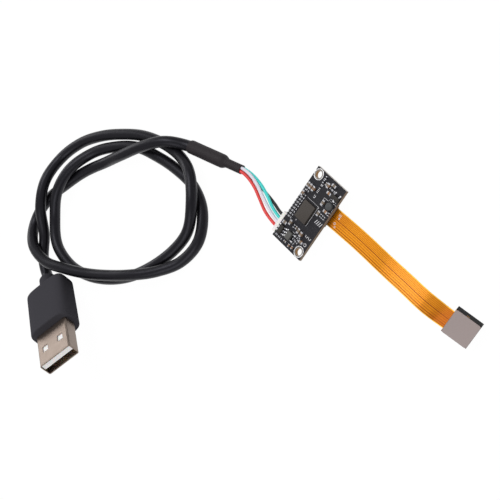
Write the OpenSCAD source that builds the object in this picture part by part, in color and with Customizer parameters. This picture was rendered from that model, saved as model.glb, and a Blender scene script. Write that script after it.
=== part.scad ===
// Camera module: a small control board, a flat flexible strip to the camera head,
// a four wire lead and a USB cable with a type A plug. Millimetres.
// Floor at z = 0, +X along the strip towards the head, +Y along the board.

/* [Board] */
// board width, along the strip
board_w = 12.5; // [11:0.1:14]
// board length
board_l = 24; // [22:0.1:27]
// board thickness
board_t = 1.0; // [0.8:0.1:1.6]
// board centre along X
board_x = -27.7; // [-30:0.1:-25]
// underside of the board above the floor
board_z = 3.0; // [2.9:0.1:4]
// mounting hole centre in from both edges
hole_in = 1.75; // [1.6:0.05:2.2]
// mounting hole radius, inside the plating
hole_r = 1.1; // [0.8:0.05:1.2]
// plating thickness in the hole
plate_t = 0.06; // [0.04:0.01:0.1]
// plated ring radius
ring_r = 1.7; // [1.4:0.05:1.75]

/* [Chips] */
// main chip size along X
chip_x = 4.5; // [3.5:0.1:4.7]
// main chip size along Y
chip_y = 5.7; // [5:0.1:6.2]
// main chip height
chip_h = 0.8; // [0.5:0.1:1.2]
// coil width across its flats
coil_d = 2.2; // [1.6:0.1:2.6]
// coil height
coil_h = 0.9; // [0.6:0.1:1.2]

/* [Wire connector] */
// wire pitch
pitch = 1.25; // [1.2:0.01:1.4]
// wire diameter over its skin
wire_d = 0.95; // [0.8:0.01:1.0]
// connector centre in from the end of the board
conn_in = 3.7; // [3.5:0.1:5]
// width of the wire housing
house_w = 6.5; // [6.2:0.1:7]
// height of the wire housing
house_h = 2.3; // [2:0.05:2.3]
// length of the wire housing
house_l = 4.6; // [4.2:0.1:5.2]
// how far the housing stands past the board's edge
house_out = 2.1; // [2:0.1:3.1]
// header wall
head_wall = 0.3; // [0.25:0.05:0.4]
// clearance between housing and header
house_gap = 0.05; // [0.02:0.01:0.1]

/* [Small parts] */
// length of a small capacitor or resistor
small_l = 1.0; // [0.8:0.05:1.15]
// width of a small capacitor or resistor
small_w = 0.5; // [0.4:0.05:0.6]
// length of a large capacitor
large_l = 1.6; // [1.4:0.05:1.8]
// width of a large capacitor
large_w = 0.8; // [0.7:0.05:0.95]

/* [Strip] */
// strip centre in from the other end of the board
strip_in = 8.65; // [7.5:0.05:9.5]
// strip from the edge of the board to the camera head
strip_run = 50.1; // [46:0.1:57]
// strip width
strip_w = 5.8; // [5:0.1:6]
// strip thickness
strip_t = 0.15; // [0.1:0.01:0.2]
// socket length along Y
sock_l = 7.2; // [6.6:0.1:8]
// socket width along X
sock_w = 2.8; // [2.4:0.1:3.2]

/* [Camera head] */
// head size along X
cam_x = 7.9; // [7.5:0.1:9]
// head size along Y
cam_y = 7.6; // [7.2:0.1:9]
// steel plate thickness
cam_plate = 0.2; // [0.15:0.05:0.3]
// height of the square holder
holder_h = 2.3; // [2:0.1:2.6]
// lens barrel radius
barrel_r = 2.8; // [2.4:0.1:3.1]
// whole height of the head
cam_h = 4.8; // [4.4:0.1:4.9]

/* [Cable] */
// cable diameter
cable_d = 3.5; // [3.2:0.1:3.6]
// heat shrink radius over the cable
shrink_r = 2.1; // [1.9:0.05:2.2]
// heat shrink radius over the wires
neck_r = 1.45; // [1.35:0.05:1.6]
// heat shrink length over the cable
shrink_l = 13.5; // [12:0.5:15]
// heat shrink length over the wires
neck_l = 6; // [4:0.5:7]

/* [Plug] */
// plug shell width
shell_w = 12.0; // [11.9:0.1:12.2]
// plug shell height
shell_h = 4.5; // [4.4:0.1:4.6]
// plug shell wall
shell_t = 0.3; // [0.25:0.05:0.4]
// shell length outside the grip
shell_l = 13.2; // [11.8:0.1:13.5]
// grip length
grip_l = 20; // [18:0.5:22]
// grip width
grip_w = 15; // [14:0.1:16]
// grip thickness by the shell
grip_h = 9.8; // [8:0.1:10.4]
// grip thickness by the collar
grip_back = 8.2; // [7:0.1:8.4]
// collar length behind the grip
collar_l = 5; // [4:0.5:6]
// collar radius
collar_r = 2.9; // [2.5:0.1:3]

/* [Hidden] */
$fn = 48;
eps = 0.01;
board_top = board_z + board_t;
edge_x = board_x - board_w/2;
house_x = edge_x - house_out;
house_z = board_z - head_wall - house_gap - house_h;
wire_z = house_z + house_h/2;
cell = wire_d + 0.03;
conn_d = 4.3;
conn_y = conn_in - board_l/2;
conn_x = edge_x - 0.2;
across = board_w/12.5;
along = board_l/24;
far_x = board_x + board_w/2;
strip_top = board_z - 1.05;
strip_end = far_x - 0.3;
strip_y = board_l/2 - strip_in;
cam_turn = [9, 26, 0];
cam_pos = [far_x + strip_run + cam_x/2*cos(cam_turn[1]), strip_y + 2.75, 5.65];
plug_pos = [-74.15, -80.5, 13.2];
plug_turn = [-11, -24.5, -10.6];
shrink_pos = [-77.5, -11, shrink_r];
shrink_turn = 16;
nose = [cos(plug_turn[1])*cos(plug_turn[2]), cos(plug_turn[1])*sin(plug_turn[2]), -sin(plug_turn[1])];
lead = [cos(16), sin(16), 0];
collar_end = plug_pos - (grip_l + collar_l)*nose;
mouth = shrink_pos + (shrink_l + 2 + neck_l)*lead;
wires_y = [for (i = [0:3]) conn_y + (i - 1.5)*pitch];

// cable centre line, from inside the heat shrink to the plug's collar
cable_pts = concat([shrink_pos + (shrink_l - 0.5)*lead, shrink_pos], [
    [-84.5, -14.5, 5.2], [-91, -21, 5.7], [-97, -28, 4.4], [-103, -34.5, 2],
    [-108.5, -42, 1.8], [-112.5, -50, 1.8], [-115.5, -58, 1.8], [-115, -66.5, 2],
    [-108, -71, 5], [-99, -71.2, 6], [-90.5, -67.7, 6.3], [-82.5, -63.5, 5.5],
    [-75, -58.5, 5.5], [-68, -53, 5.5], [-61.5, -46.5, 4], [-57, -39, 2],
    [-56, -30.5, 1.8], [-61, -23, 1.8], [-69, -19.5, 1.8], [-78, -19.5, 1.8],
    [-87, -21, 1.8], [-95.5, -23.5, 1.8], [-103, -28.5, 1.8], [-109, -35, 2.5],
    [-111.5, -43.5, 5], [-111, -52, 5.2], [-108.5, -60, 2.5], [-102.5, -66, 1.8],
    [-93.5, -67.5, 1.8], [-85, -65.5, 1.8], [-77, -61, 1.8], [-70.5, -55, 1.8],
    [-65.5, -47.5, 1.8], [-62, -39, 1.8], [-60.5, -30.5, 3], [-63, -22.5, 5.5],
    [-70, -16.5, 5], [-78.5, -15.5, 2.5], [-87, -16.5, 1.8], [-96, -19.5, 1.8],
    [-103.5, -24, 1.8], [-110.5, -29.5, 1.8], [-116.5, -36.5, 1.8], [-119.5, -44.5, 2.5],
    [-117.5, -52.5, 5.5], [-113.5, -60, 5.4], [-108.5, -67.5, 2], [-104.1, -73, 1.8], [-100.9, -75.1, 1.85]],
    [collar_end - 2.2*nose + [0, 0, 0.2], collar_end]);

// wires, from inside the heat shrink to the crimp contacts
function bunch(a, b) = [for (d = [-neck_l - 2.5, 0]) mouth + d*lead + [-sin(16)*a, cos(16)*a, b]];
function to_house(i) = [[house_x - 1.5, wires_y[i], wire_z],
    [house_x + house_l - 2.4, wires_y[i], wire_z]];
red_pts = concat(bunch(-0.5, 0.5), [[-53.5, -5.4, 2.5], [-49.5, -6.2, 2.3], [-46, -7.7, 2],
    [-42, -9.4, 1.7]], to_house(0));
white_pts = concat(bunch(0.5, 0.5), [[-53, -4.3, 2.6], [-49, -5.1, 2.4],
    [-45, -6.65, 2.1], [-41, -8.15, 1.7]], to_house(1));
green_pts = concat(bunch(0.5, -0.5), [[-53, -4.1, 1.6], [-48.5, -4.5, 1.6],
    [-44.5, -5.6, 1.6], [-41, -6.9, 1.6]], to_house(2));
black_pts = concat(bunch(-0.5, -0.5), [[-53, -5.2, 1.2], [-48.5, -5.4, 0.5],
    [-44.5, -5.75, 0.5], [-41, -6.1, 0.8]], to_house(3));

// flat strip centre line, from the socket to the edge of the camera head
strip_pts = concat([for (x = [board_x + 3.6, far_x - 0.3]) [x, strip_y, strip_top - strip_t/2]],
    [for (p = [[0.08, 0.05, 1.5], [0.19, 0.1, 1.0], [0.3, 0.1, 0.85], [0.4, 0.15, 1.15],
        [0.5, 0.5, 2.3], [0.6, 1.05, 3.95], [0.695, 1.6, 5.8], [0.775, 2.05, 7.4],
        [0.845, 2.45, 8.5], [0.895, 2.7, 8.8], [0.94, 2.8, 8.4], [0.974, 2.8, 7.7]])
        [far_x + p[0]*strip_run, strip_y + p[1], p[2]]]);

small = [small_l, small_w];
large = [large_l, large_w];
// [x, y, turn, size] on the board, board centre at 0, 0
caps = [[-5.2, 6.25, 90, large], [-4.15, 6.25, 90, large], [-3.0, 6.25, 90, large],
    [-5.25, 3.3, 90, large], [-3.0, -5.45, 90, large], [-4.6, -6.6, 0, large],
    [-0.45, -5.5, 90, small], [0.85, -5.7, 90, large], [2.2, -5.95, 90, large],
    [3.6, -7.65, 0, large], [-1.05, -10.75, 0, small], [0.7, -10.85, 90, small],
    [2.0, -10.65, 90, small], [-0.35, 9.8, 90, small], [0.6, 9.85, 90, large],
    [2.3, 10.9, 0, large], [2.3, 8.35, 0, large], [2.3, 5.2, 90, large],
    [4.7, 3.75, 0, large], [3.0, 2.0, 90, large]];
resistors = concat([for (i = [0:7]) [-5.4, -4.5 + i*0.95, 0, small]],
    [for (i = [0:8]) [-4.3, -4.4 + i*0.95, 0, small]],
    [for (i = [0:2]) [3.95 + i*0.75, 2.0, 90, small]],
    [for (i = [0:2]) [-5.4 + i*1.25, -10.95, 0, small]],
    [for (y = [9.8, 11.0]) [-1.6, y, 90, small]],
    [[-5.5, 4.6, 0, small], [-4.3, 4.7, 0, small], [-1.35, -5.6, 90, small],
    [1.4, -7.5, 0, small], [2.45, -7.5, 90, small], [1.1, -8.5, 0, small],
    [2.3, -8.7, 0, small], [1.4, -9.5, 0, small], [5.85, 3.7, 90, small],
    [1.9, 9.65, 0, small], [2.97, 9.65, 0, small]]);

function unit(v) = v/norm(v);
function heading(p, i, first, last) = let (n = len(p) - 1)
    (i == 0 && norm(first) > 0) ? unit(first) :
    (i == n && norm(last) > 0) ? unit(last) :
    unit(p[min(i + 1, n)] - p[max(i - 1, 0)]);
function ring(c, t, sec, turn) = let (s = unit(cross([0, 0, 1], t)), u = cross(t, s))
    [for (q = sec) c + s*(q[0]*cos(turn) - q[1]*sin(turn)) + u*(q[0]*sin(turn) + q[1]*cos(turn))];

// a section carried along a line of points; the section runs anticlockwise
module sweep(p, sec, first = [0, 0, 0], last = [0, 0, 0], end_turn = 0) {
    n = len(p);
    m = len(sec);
    polyhedron(points = [for (i = [0:n - 1]) for (q = ring(p[i], heading(p, i, first, last),
            sec, i == n - 1 ? end_turn : i == n - 2 ? end_turn/2 : 0)) q],
        faces = concat([[for (j = [0:m - 1]) j]],
            [[for (j = [m - 1:-1:0]) (n - 1)*m + j]],
            [for (i = [0:n - 2]) for (j = [0:m - 1]) [i*m + j, (i + 1)*m + j, (i + 1)*m + (j + 1)%m]],
            [for (i = [0:n - 2]) for (j = [0:m - 1]) [i*m + j, (i + 1)*m + (j + 1)%m, i*m + (j + 1)%m]]),
        convexity = 6);
}
function round_sec(r, n) = [for (j = [0:n - 1]) r*[cos(j*360/n), sin(j*360/n)]];

module block(x0, x1, y0, y1, z0, z1) translate([x0, y0, z0]) cube([x1 - x0, y1 - y0, z1 - z0]);
module on_board() translate([board_x, 0, board_top]) children();
module on_head() translate(cam_pos) rotate(cam_turn) children();
module on_plug() translate(plug_pos) rotate(plug_turn) children();
module at_holes() for (s = [-1, 1])
    translate([board_x + s*(board_w/2 - hole_in), -s*(board_l/2 - hole_in), 0]) children();

module pcb() color([0.07, 0.07, 0.08]) difference() {
    translate([board_x - board_w/2, -board_l/2, board_z]) cube([board_w, board_l, board_t]);
    at_holes() translate([0, 0, board_z - 1]) cylinder(r = hole_r + plate_t, h = board_t + 2);
}
module hole_plating() color([0.8, 0.8, 0.82]) at_holes() difference() {
    union() {
        translate([0, 0, board_z]) cylinder(r = hole_r + plate_t, h = board_t);
        for (z = [board_z - plate_t, board_top]) translate([0, 0, z]) cylinder(r = ring_r, h = plate_t);
    }
    translate([0, 0, board_z - 1]) cylinder(r = hole_r, h = board_t + 2);
}
module main_chip() color([0.3, 0.28, 0.26]) on_board()
    translate([-0.95*across - chip_x/2, -0.35*along - chip_y/2, 0]) cube([chip_x, chip_y, chip_h]);
module power_coil() color([0.22, 0.22, 0.24]) on_board() translate([4.65*across, 5.5*along, 0]) {
    rotate([0, 0, 22.5]) cylinder(d = coil_d/cos(22.5), h = coil_h, $fn = 8);
}
// one bent lead, reaching out from a package side at x = 0
module lead_at(x, y, turn) translate([x, y, 0]) rotate([0, 0, turn]) {
    block(0.1, 0.65, -0.18, 0.18, 0, 0.12);
    block(0, 0.22, -0.18, 0.18, 0.12, 0.5);
}
module at_regulator() on_board() translate([-1.0*across, -8.7*along, 0]) children();
module at_guard() on_board() translate([-4.5*across, -8.95*along, 0]) children();
module at_transistor() on_board() translate([4.65*across, 8.5*along, 0]) children();
module regulator() color([0.2, 0.2, 0.21]) at_regulator() block(-0.95, 0.95, -1.25, 1.25, 0.1, 1.0);
module regulator_leads() color([0.85, 0.85, 0.86]) at_regulator() {
    for (i = [-1:1]) lead_at(-0.95, i*0.95, 180);
    for (i = [-1, 1]) lead_at(0.95, i*0.95, 0);
}
module line_guard() color([0.09, 0.09, 0.1]) at_guard() block(-0.8, 0.8, -1.3, 1.3, 0.1, 0.9);
module line_guard_leads() color([0.85, 0.85, 0.86]) at_guard() for (i = [-1:1]) {
    lead_at(-0.8, i*0.95, 180);
    lead_at(0.8, i*0.95, 0);
}
module transistor() color([0.16, 0.13, 0.12]) at_transistor()
    block(-1.45, 1.45, -0.65, 0.65, 0.1, 0.9);
module transistor_leads() color([0.85, 0.85, 0.86]) at_transistor() {
    for (i = [-1, 1]) lead_at(i*0.95, 0.65, 90);
    lead_at(0, -0.65, 270);
}

module at_parts(list) for (c = list) translate([c[0]*across, c[1]*along, 0]) rotate([0, 0, c[2]]) {
    $l = c[3][0];
    $w = c[3][1];
    children();
}
module bodies() block(-$l/4, $l/4, -$w/2, $w/2, 0.02, $w*0.95);
module ends() for (s = [0, 1]) mirror([s, 0, 0]) block($l/4, $l/2, -$w/2, $w/2, 0, $w);
module capacitor_bodies() color([0.55, 0.38, 0.25]) on_board() at_parts(caps) bodies();
module capacitor_ends() color([0.82, 0.82, 0.83]) on_board() at_parts(caps) ends();
module resistor_bodies() color([0.12, 0.12, 0.13]) on_board() at_parts(resistors) bodies();
module resistor_ends() color([0.82, 0.82, 0.83]) on_board() at_parts(resistors) ends();

module wire_header() color([0.93, 0.92, 0.88]) difference() {
    o = house_w/2 + house_gap + head_wall;
    block(conn_x, conn_x + conn_d, conn_y - o, conn_y + o, house_z - house_gap - head_wall, board_z);
    block(conn_x - 1, house_x + house_l + house_gap, conn_y - o + head_wall,
        conn_y + o - head_wall, house_z - house_gap, board_z - head_wall);
    for (y = wires_y) block(conn_x, conn_x + 9, y - 0.15, y + 0.15, wire_z - 0.15, wire_z + 0.15);
}
module header_pins() color([0.85, 0.78, 0.5]) for (y = wires_y) {
    block(house_x + house_l - 1.6, conn_x + conn_d + 0.3, y - 0.15, y + 0.15,
        wire_z - 0.15, wire_z + 0.15);
    block(conn_x + conn_d, conn_x + conn_d + 0.3, y - 0.15, y + 0.15, wire_z - 0.15, board_z);
    block(conn_x + conn_d, conn_x + conn_d + 1.1, y - 0.15, y + 0.15, board_z - 0.2, board_z);
}
module wire_housing() color([0.95, 0.95, 0.94]) difference() {
    block(house_x, house_x + house_l, conn_y - house_w/2, conn_y + house_w/2,
        house_z, house_z + house_h);
    for (y = wires_y) {
        block(house_x - 1, house_x + house_l - 0.4, y - cell/2, y + cell/2,
            wire_z - cell/2, wire_z + cell/2);
        block(house_x, house_x + house_l + 1, y - 0.16, y + 0.16, wire_z - 0.16, wire_z + 0.16);
        block(house_x + 1.6, house_x + 2.4, y - 0.25, y + 0.25, wire_z, wire_z + 3);
    }
}
module crimp_contacts() color([0.8, 0.7, 0.45]) for (y = wires_y) difference() {
    block(house_x + house_l - 2.4, house_x + house_l - 0.4, y - 0.4, y + 0.4,
        wire_z - 0.4, wire_z + 0.4);
    block(house_x + house_l - 1.7, house_x + house_l, y - 0.16, y + 0.16,
        wire_z - 0.16, wire_z + 0.16);
}

module strip_socket() color([0.1, 0.1, 0.11]) difference() {
    block(strip_end - sock_w, strip_end, strip_y - sock_l/2, strip_y + sock_l/2,
        board_z - 0.8, board_z);
    block(strip_end - sock_w + 0.5, strip_end - 0.5, strip_y - sock_l/2 + 0.6,
        strip_y + sock_l/2 - 0.6, board_z - 1, board_z - 0.3);
}
module strip_plug() color([0.13, 0.13, 0.14]) {
    block(strip_end - sock_w + 0.2, strip_end - 0.2, strip_y - strip_w/2, strip_y + strip_w/2,
        strip_top, board_z - 0.8);
    block(strip_end - sock_w + 0.75, strip_end - 0.75, strip_y - sock_l/2 + 0.9,
        strip_y + sock_l/2 - 0.9, board_z - 0.81, board_z - 0.35);
}
module socket_contacts() color([0.88, 0.75, 0.4]) for (i = [-5:5]) for (s = [0, 1])
    translate([strip_end - sock_w/2, strip_y + i*0.5, 0]) mirror([s, 0, 0])
        block(sock_w/2, sock_w/2 + (s ? 0.5 : 0.15), -0.1, 0.1, board_z - 0.15, board_z);
module strip_stiffener() color([0.75, 0.45, 0.12]) block(board_x + 3.6, strip_end,
    strip_y - strip_w/2, strip_y + strip_w/2, strip_top - strip_t - 0.25, strip_top - strip_t);
module flat_strip() color([0.88, 0.5, 0.12]) {
    a = cam_x/2;
    t = cam_plate + strip_t/2;
    r = cam_turn[0];
    b = cam_turn[1];
    end = cam_pos + [-a*cos(b) - t*cos(r)*sin(b), t*sin(r), a*sin(b) - t*cos(r)*cos(b)];
    sweep(concat(strip_pts, [end]), [[strip_w/2, -strip_t/2], [strip_w/2, strip_t/2],
        [-strip_w/2, strip_t/2], [-strip_w/2, -strip_t/2]], [1, 0, 0], [cos(b), 0, -sin(b)], r);
}

module head_plate() color([0.63, 0.58, 0.57]) on_head()
    block(-cam_x/2, cam_x/2, -cam_y/2, cam_y/2, -cam_plate, 0);
module head_flex() color([0.8, 0.45, 0.12]) on_head() block(-cam_x/2, cam_x/2 - 0.2,
    -cam_y/2 + 0.2, cam_y/2 - 0.2, -cam_plate - strip_t, -cam_plate);
module image_sensor() color([0.15, 0.17, 0.25]) on_head() block(-2.2, 2.2, -1.9, 1.9,
    -cam_plate - strip_t - 0.6, -cam_plate - strip_t);
module infrared_filter() color([0.6, 0.8, 0.85]) on_head()
    translate([0, 0, -cam_plate - strip_t - 1.0]) cylinder(r = 2.3, h = 0.25);
module lens_holder() color([0.08, 0.08, 0.09]) on_head() {
    z = -cam_plate - strip_t;
    difference() {
        union() {
            block(-cam_x/2, cam_x/2, -cam_y/2, cam_y/2, z - holder_h, z);
            translate([0, 0, z - holder_h - 0.8]) cylinder(r = barrel_r + 0.6, h = 1);
        }
        block(-2.7, 2.7, -2.5, 2.5, z - 0.75, z + 1);
        translate([0, 0, z - 1.0]) cylinder(r = 2.3, h = 1);
        translate([0, 0, z - 1.3]) cylinder(r = 1.9, h = 1);
        translate([0, 0, z - holder_h - 2]) cylinder(r = barrel_r, h = holder_h + 0.7);
    }
}
module lens_barrel() color([0.06, 0.06, 0.07]) on_head() {
    z = -cam_plate - strip_t - 1.3;
    difference() {
        translate([0, 0, -cam_h]) cylinder(r = barrel_r, h = z + cam_h);
        translate([0, 0, -cam_h + 0.9]) cylinder(r = 1.9, h = cam_h);
        translate([0, 0, -cam_h + 0.35]) cylinder(r = 1.4, h = cam_h);
        translate([0, 0, -cam_h - 0.01]) cylinder(r1 = 2.0, r2 = 1.0, h = 0.38);
    }
}
module front_lens() color([0.5, 0.6, 0.8]) on_head()
    translate([0, 0, -cam_h + 0.4]) cylinder(r = 1.4, h = 0.5);
module inner_lens() color([0.5, 0.65, 0.75]) on_head()
    translate([0, 0, -cam_h + 1.5]) cylinder(r = 1.9, h = 0.6);

module wire_red() color([0.9, 0.25, 0.25]) sweep(red_pts, round_sec(wire_d/2, 8), lead, [1, 0, 0]);
module wire_white() color([0.92, 0.9, 0.95]) sweep(white_pts, round_sec(wire_d/2, 8), lead, [1, 0, 0]);
module wire_green() color([0.18, 0.8, 0.75]) sweep(green_pts, round_sec(wire_d/2, 8), lead, [1, 0, 0]);
module wire_black() color([0.1, 0.1, 0.1]) sweep(black_pts, round_sec(wire_d/2, 8), lead, [1, 0, 0]);
module heat_shrink() color([0.22, 0.2, 0.21]) translate(shrink_pos) rotate([0, 90, shrink_turn])
    rotate_extrude() polygon([[cable_d/2, 0], [shrink_r, 0], [shrink_r, shrink_l],
        [neck_r, shrink_l + 2], [neck_r, shrink_l + 2 + neck_l],
        [neck_r - 0.25, shrink_l + 2 + neck_l], [neck_r - 0.25, shrink_l + 1.5],
        [cable_d/2, shrink_l - 0.3]]);
module usb_cable() color([0.12, 0.12, 0.13])
    sweep(cable_pts, round_sec(cable_d/2, 8), -lead, nose);

module round_bar(w, h, r, x0, x1) translate([x0, 0, 0]) rotate([90, 0, 90])
    linear_extrude(x1 - x0) union() {
        square([w - 2*r, h], center = true);
        square([w, h - 2*r], center = true);
        for (a = [-1, 1]) for (b = [-1, 1]) translate([a*(w/2 - r), b*(h/2 - r)]) circle(r);
    }
// a closed outline with softly squared corners
function soft_oval(a, b) = [for (i = [0:47]) let (c = cos(i*7.5), s = sin(i*7.5))
    [a*sign(c)*pow(abs(c), 0.5), b*sign(s)*pow(abs(s), 0.5)]];
module mirrored(list) polygon(concat(list, [for (i = [len(list) - 1:-1:0]) [list[i][0], -list[i][1]]]));
module plug_grip() color([0.24, 0.24, 0.26]) on_plug() difference() {
    union() {
        intersection() {
            translate([-grip_l, 0, 0]) rotate([90, 0, 90]) linear_extrude(grip_l)
                polygon(soft_oval(grip_w/2, grip_h/2));
            translate([0, 0, -grip_h]) linear_extrude(2*grip_h) mirrored([[-grip_l, grip_w/2 - 1.1],
                [-grip_l + 0.4, grip_w/2 - 0.4], [-grip_l + 1.2, grip_w/2], [-0.7, grip_w/2 - 0.15],
                [-0.2, grip_w/2 - 0.35], [0, grip_w/2 - 0.8]]);
            rotate([90, 0, 0]) translate([0, 0, -grip_w]) linear_extrude(2*grip_w)
                mirrored([[-grip_l, grip_back/2 - 0.6], [-grip_l + 0.2, grip_back/2 - 0.2],
                [-grip_l + 0.7, grip_back/2], [-0.7, grip_h/2], [-0.2, grip_h/2 - 0.25],
                [0, grip_h/2 - 0.7]]);
        }
        translate([-grip_l - collar_l, 0, 0]) rotate([0, 90, 0])
            cylinder(r = collar_r, h = collar_l + 1);
    }
    translate([-grip_l - collar_l, 0, 0]) rotate([0, 90, 0]) difference() {
        cylinder(r = collar_r + 1, h = 0.4);
        translate([0, 0, -0.1]) cylinder(r1 = collar_r - 0.5, r2 = collar_r, h = 0.55);
    }
    block(-4, 1, -shell_w/2, shell_w/2, -shell_h/2, shell_h/2);
}
module plug_shell() color([0.68, 0.65, 0.62]) on_plug() difference() {
    round_bar(shell_w, shell_h, 0.5, -4, shell_l);
    block(-5, shell_l + 1, -shell_w/2 + shell_t, shell_w/2 - shell_t,
        -shell_h/2 + shell_t, shell_h/2 - shell_t);
    for (y = [-3, 3]) block(shell_l - 7.4, shell_l - 5, y - 1, y + 1, -shell_h, shell_h);
}
module plug_insulator() color([0.93, 0.92, 0.9]) on_plug() {
    block(-4, 0.8, -shell_w/2 + shell_t, shell_w/2 - shell_t, -shell_h/2 + shell_t, shell_h/2 - shell_t);
    block(0.8, shell_l - 0.3, -5.6, 5.6, 0.1, shell_h/2 - shell_t);
}
module plug_contacts() color([0.9, 0.78, 0.4]) on_plug()
    for (c = [[-3.5, 11], [-1, 10.2], [1, 10.2], [3.5, 11]])
        block(0.8, c[1], c[0] - 0.5, c[0] + 0.5, -0.1, 0.1);

pcb();
hole_plating();
main_chip();
power_coil();
regulator();
regulator_leads();
line_guard();
line_guard_leads();
transistor();
transistor_leads();
capacitor_bodies();
capacitor_ends();
resistor_bodies();
resistor_ends();
wire_header();
header_pins();
wire_housing();
crimp_contacts();
strip_socket();
strip_plug();
socket_contacts();
strip_stiffener();
flat_strip();
head_plate();
head_flex();
image_sensor();
infrared_filter();
lens_holder();
lens_barrel();
front_lens();
inner_lens();
wire_red();
wire_white();
wire_green();
wire_black();
heat_shrink();
usb_cable();
plug_grip();
plug_shell();
plug_insulator();
plug_contacts();
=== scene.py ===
# Camera module: control board, flat strip, camera head, four wires, cable and plug.
import bpy
import math
import numpy as np
from mathutils import Matrix, Vector


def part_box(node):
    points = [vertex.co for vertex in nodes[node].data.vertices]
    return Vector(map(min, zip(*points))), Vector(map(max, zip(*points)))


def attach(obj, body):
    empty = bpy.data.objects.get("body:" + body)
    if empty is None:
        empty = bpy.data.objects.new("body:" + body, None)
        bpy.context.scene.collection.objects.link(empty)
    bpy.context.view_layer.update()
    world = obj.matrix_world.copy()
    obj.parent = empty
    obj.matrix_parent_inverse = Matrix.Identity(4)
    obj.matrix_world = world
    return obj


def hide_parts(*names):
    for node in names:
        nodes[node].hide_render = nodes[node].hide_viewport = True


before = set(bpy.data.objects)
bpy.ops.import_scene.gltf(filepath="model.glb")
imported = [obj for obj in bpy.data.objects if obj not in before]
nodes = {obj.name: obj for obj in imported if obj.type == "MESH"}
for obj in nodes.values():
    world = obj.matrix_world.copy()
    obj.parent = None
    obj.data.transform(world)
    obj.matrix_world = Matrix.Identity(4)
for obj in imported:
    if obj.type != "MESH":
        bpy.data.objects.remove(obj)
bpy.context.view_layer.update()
mm = 0.001


def linearColour(hexCode):
    # sRGB hex to linear light
    parts = [int(hexCode[i:i + 2], 16) / 255 for i in (1, 3, 5)]
    return tuple(p / 12.92 if p <= 0.04045 else ((p + 0.055) / 1.055) ** 2.4 for p in parts) + (1.0,)


def addNode(tree, kind, settings=None, links=None):
    # one node: settings by socket or property name, links by socket name or number
    node = tree.nodes.new(kind)
    for key, value in (settings or {}).items():
        if key in node.inputs:
            node.inputs[key].default_value = value
        else:
            setattr(node, key, value)
    for key, source in (links or {}).items():
        tree.links.new(source, node.inputs[key])
    return node


def feed(tree, socket, value):
    # a socket takes a number, a colour's hex code or another node's output
    if isinstance(value, str):
        socket.default_value = linearColour(value)
    elif isinstance(value, (int, float)):
        socket.default_value = value
    else:
        tree.links.new(value, socket)


def mixTone(tree, factor, first, second):
    # the first colour where the factor is 0, the second where it is 1
    node = addNode(tree, "ShaderNodeMix", {"data_type": "RGBA"})
    for slot, value in ((0, factor), (6, first), (7, second)):
        feed(tree, node.inputs[slot], value)
    return node.outputs[2]


def mathOf(tree, operation, *values):
    node = addNode(tree, "ShaderNodeMath", {"operation": operation})
    for socket, value in zip(node.inputs, values):
        feed(tree, socket, value)
    return node.outputs[0]


def spread(tree, value, low, high, start=0.0, end=1.0):
    # low to high becomes start to end, and beyond them the ends hold
    return addNode(tree, "ShaderNodeMapRange",
                   {"From Min": low, "From Max": high, "To Min": start, "To Max": end},
                    {"Value": value}).outputs[0]


def greyRamp(tree, value, stops):
    # a grey level by the value, straight between stops of (value, level)
    node = addNode(tree, "ShaderNodeValToRGB", {}, {"Fac": value})
    elements = node.color_ramp.elements
    elements.remove(elements[1])
    elements[0].position = stops[0][0]
    elements[0].color = (stops[0][1],) * 3 + (1,)
    for position, level in stops[1:]:
        elements.new(position).color = (level,) * 3 + (1,)
    return node.outputs[0]


def objectPlace(tree):
    return addNode(tree, "ShaderNodeTexCoord").outputs["Object"]


def noiseOf(tree, place, grainMm, detail=3.0, roughness=0.5):
    # cloudy noise from 0 to 1 whose grain is in mm
    return addNode(tree, "ShaderNodeTexNoise",
                   {"Scale": 1 / (grainMm * mm), "Detail": detail, "Roughness": roughness},
                   {"Vector": place}).outputs["Fac"]


def reliefOf(tree, height, strength, depthMm, invert=False):
    return addNode(tree, "ShaderNodeBump", {"Strength": strength, "Distance": depthMm * mm, "invert": invert},
                   {"Height": height}).outputs[0]


def uprightShare(tree):
    # 1 on faces that look up or down, 0 on the sides, and how far a face looks along +Y
    normal = addNode(tree, "ShaderNodeNewGeometry").outputs["Normal"]
    facing = addNode(tree, "ShaderNodeSeparateXYZ", {}, {0: normal}).outputs
    return mathOf(tree, "GREATER_THAN", mathOf(tree, "ABSOLUTE", facing[2]), 0.5), facing[1]


def newMaterial(name, **sockets):
    # a Principled material with its sockets set, its tree and its shader
    material = bpy.data.materials.new(name)
    material.use_nodes = True
    tree = material.node_tree
    shader = tree.nodes["Principled BSDF"]
    for key, value in sockets.items():
        shader.inputs[key.replace("_", " ")].default_value = value
    return material, tree, shader


def joinShader(tree, shader, tone, rough=None, relief=None):
    for name, source in (("Base Color", tone), ("Roughness", rough), ("Normal", relief)):
        if source is not None:
            tree.links.new(source, shader.inputs[name])


def speckled(name, pale, dark, grainMm, roughness, roughSpread=0.08, bump=0.15, **sockets):
    # colour between two tones, roughness and bump, all from one noise whose grain is in mm
    material, tree, shader = newMaterial(name, **sockets)
    noise = noiseOf(tree, objectPlace(tree), grainMm, 4.0, 0.6)
    joinShader(tree, shader, mixTone(tree, noise, dark, pale),
               spread(tree, noise, 0.0, 1.0, roughness - roughSpread, roughness + roughSpread),
               reliefOf(tree, noise, bump, grainMm * 0.1))
    return material


def dress(material, *names):
    # CAD nodes that keep their shape take this finish
    for name in names:
        nodes[name].data.materials.clear()
        nodes[name].data.materials.append(material)


def runOf(path):
    # distance along a path at each of its points
    return np.concatenate([[0], np.cumsum(np.linalg.norm(np.diff(path, axis=0), axis=1))])


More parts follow.
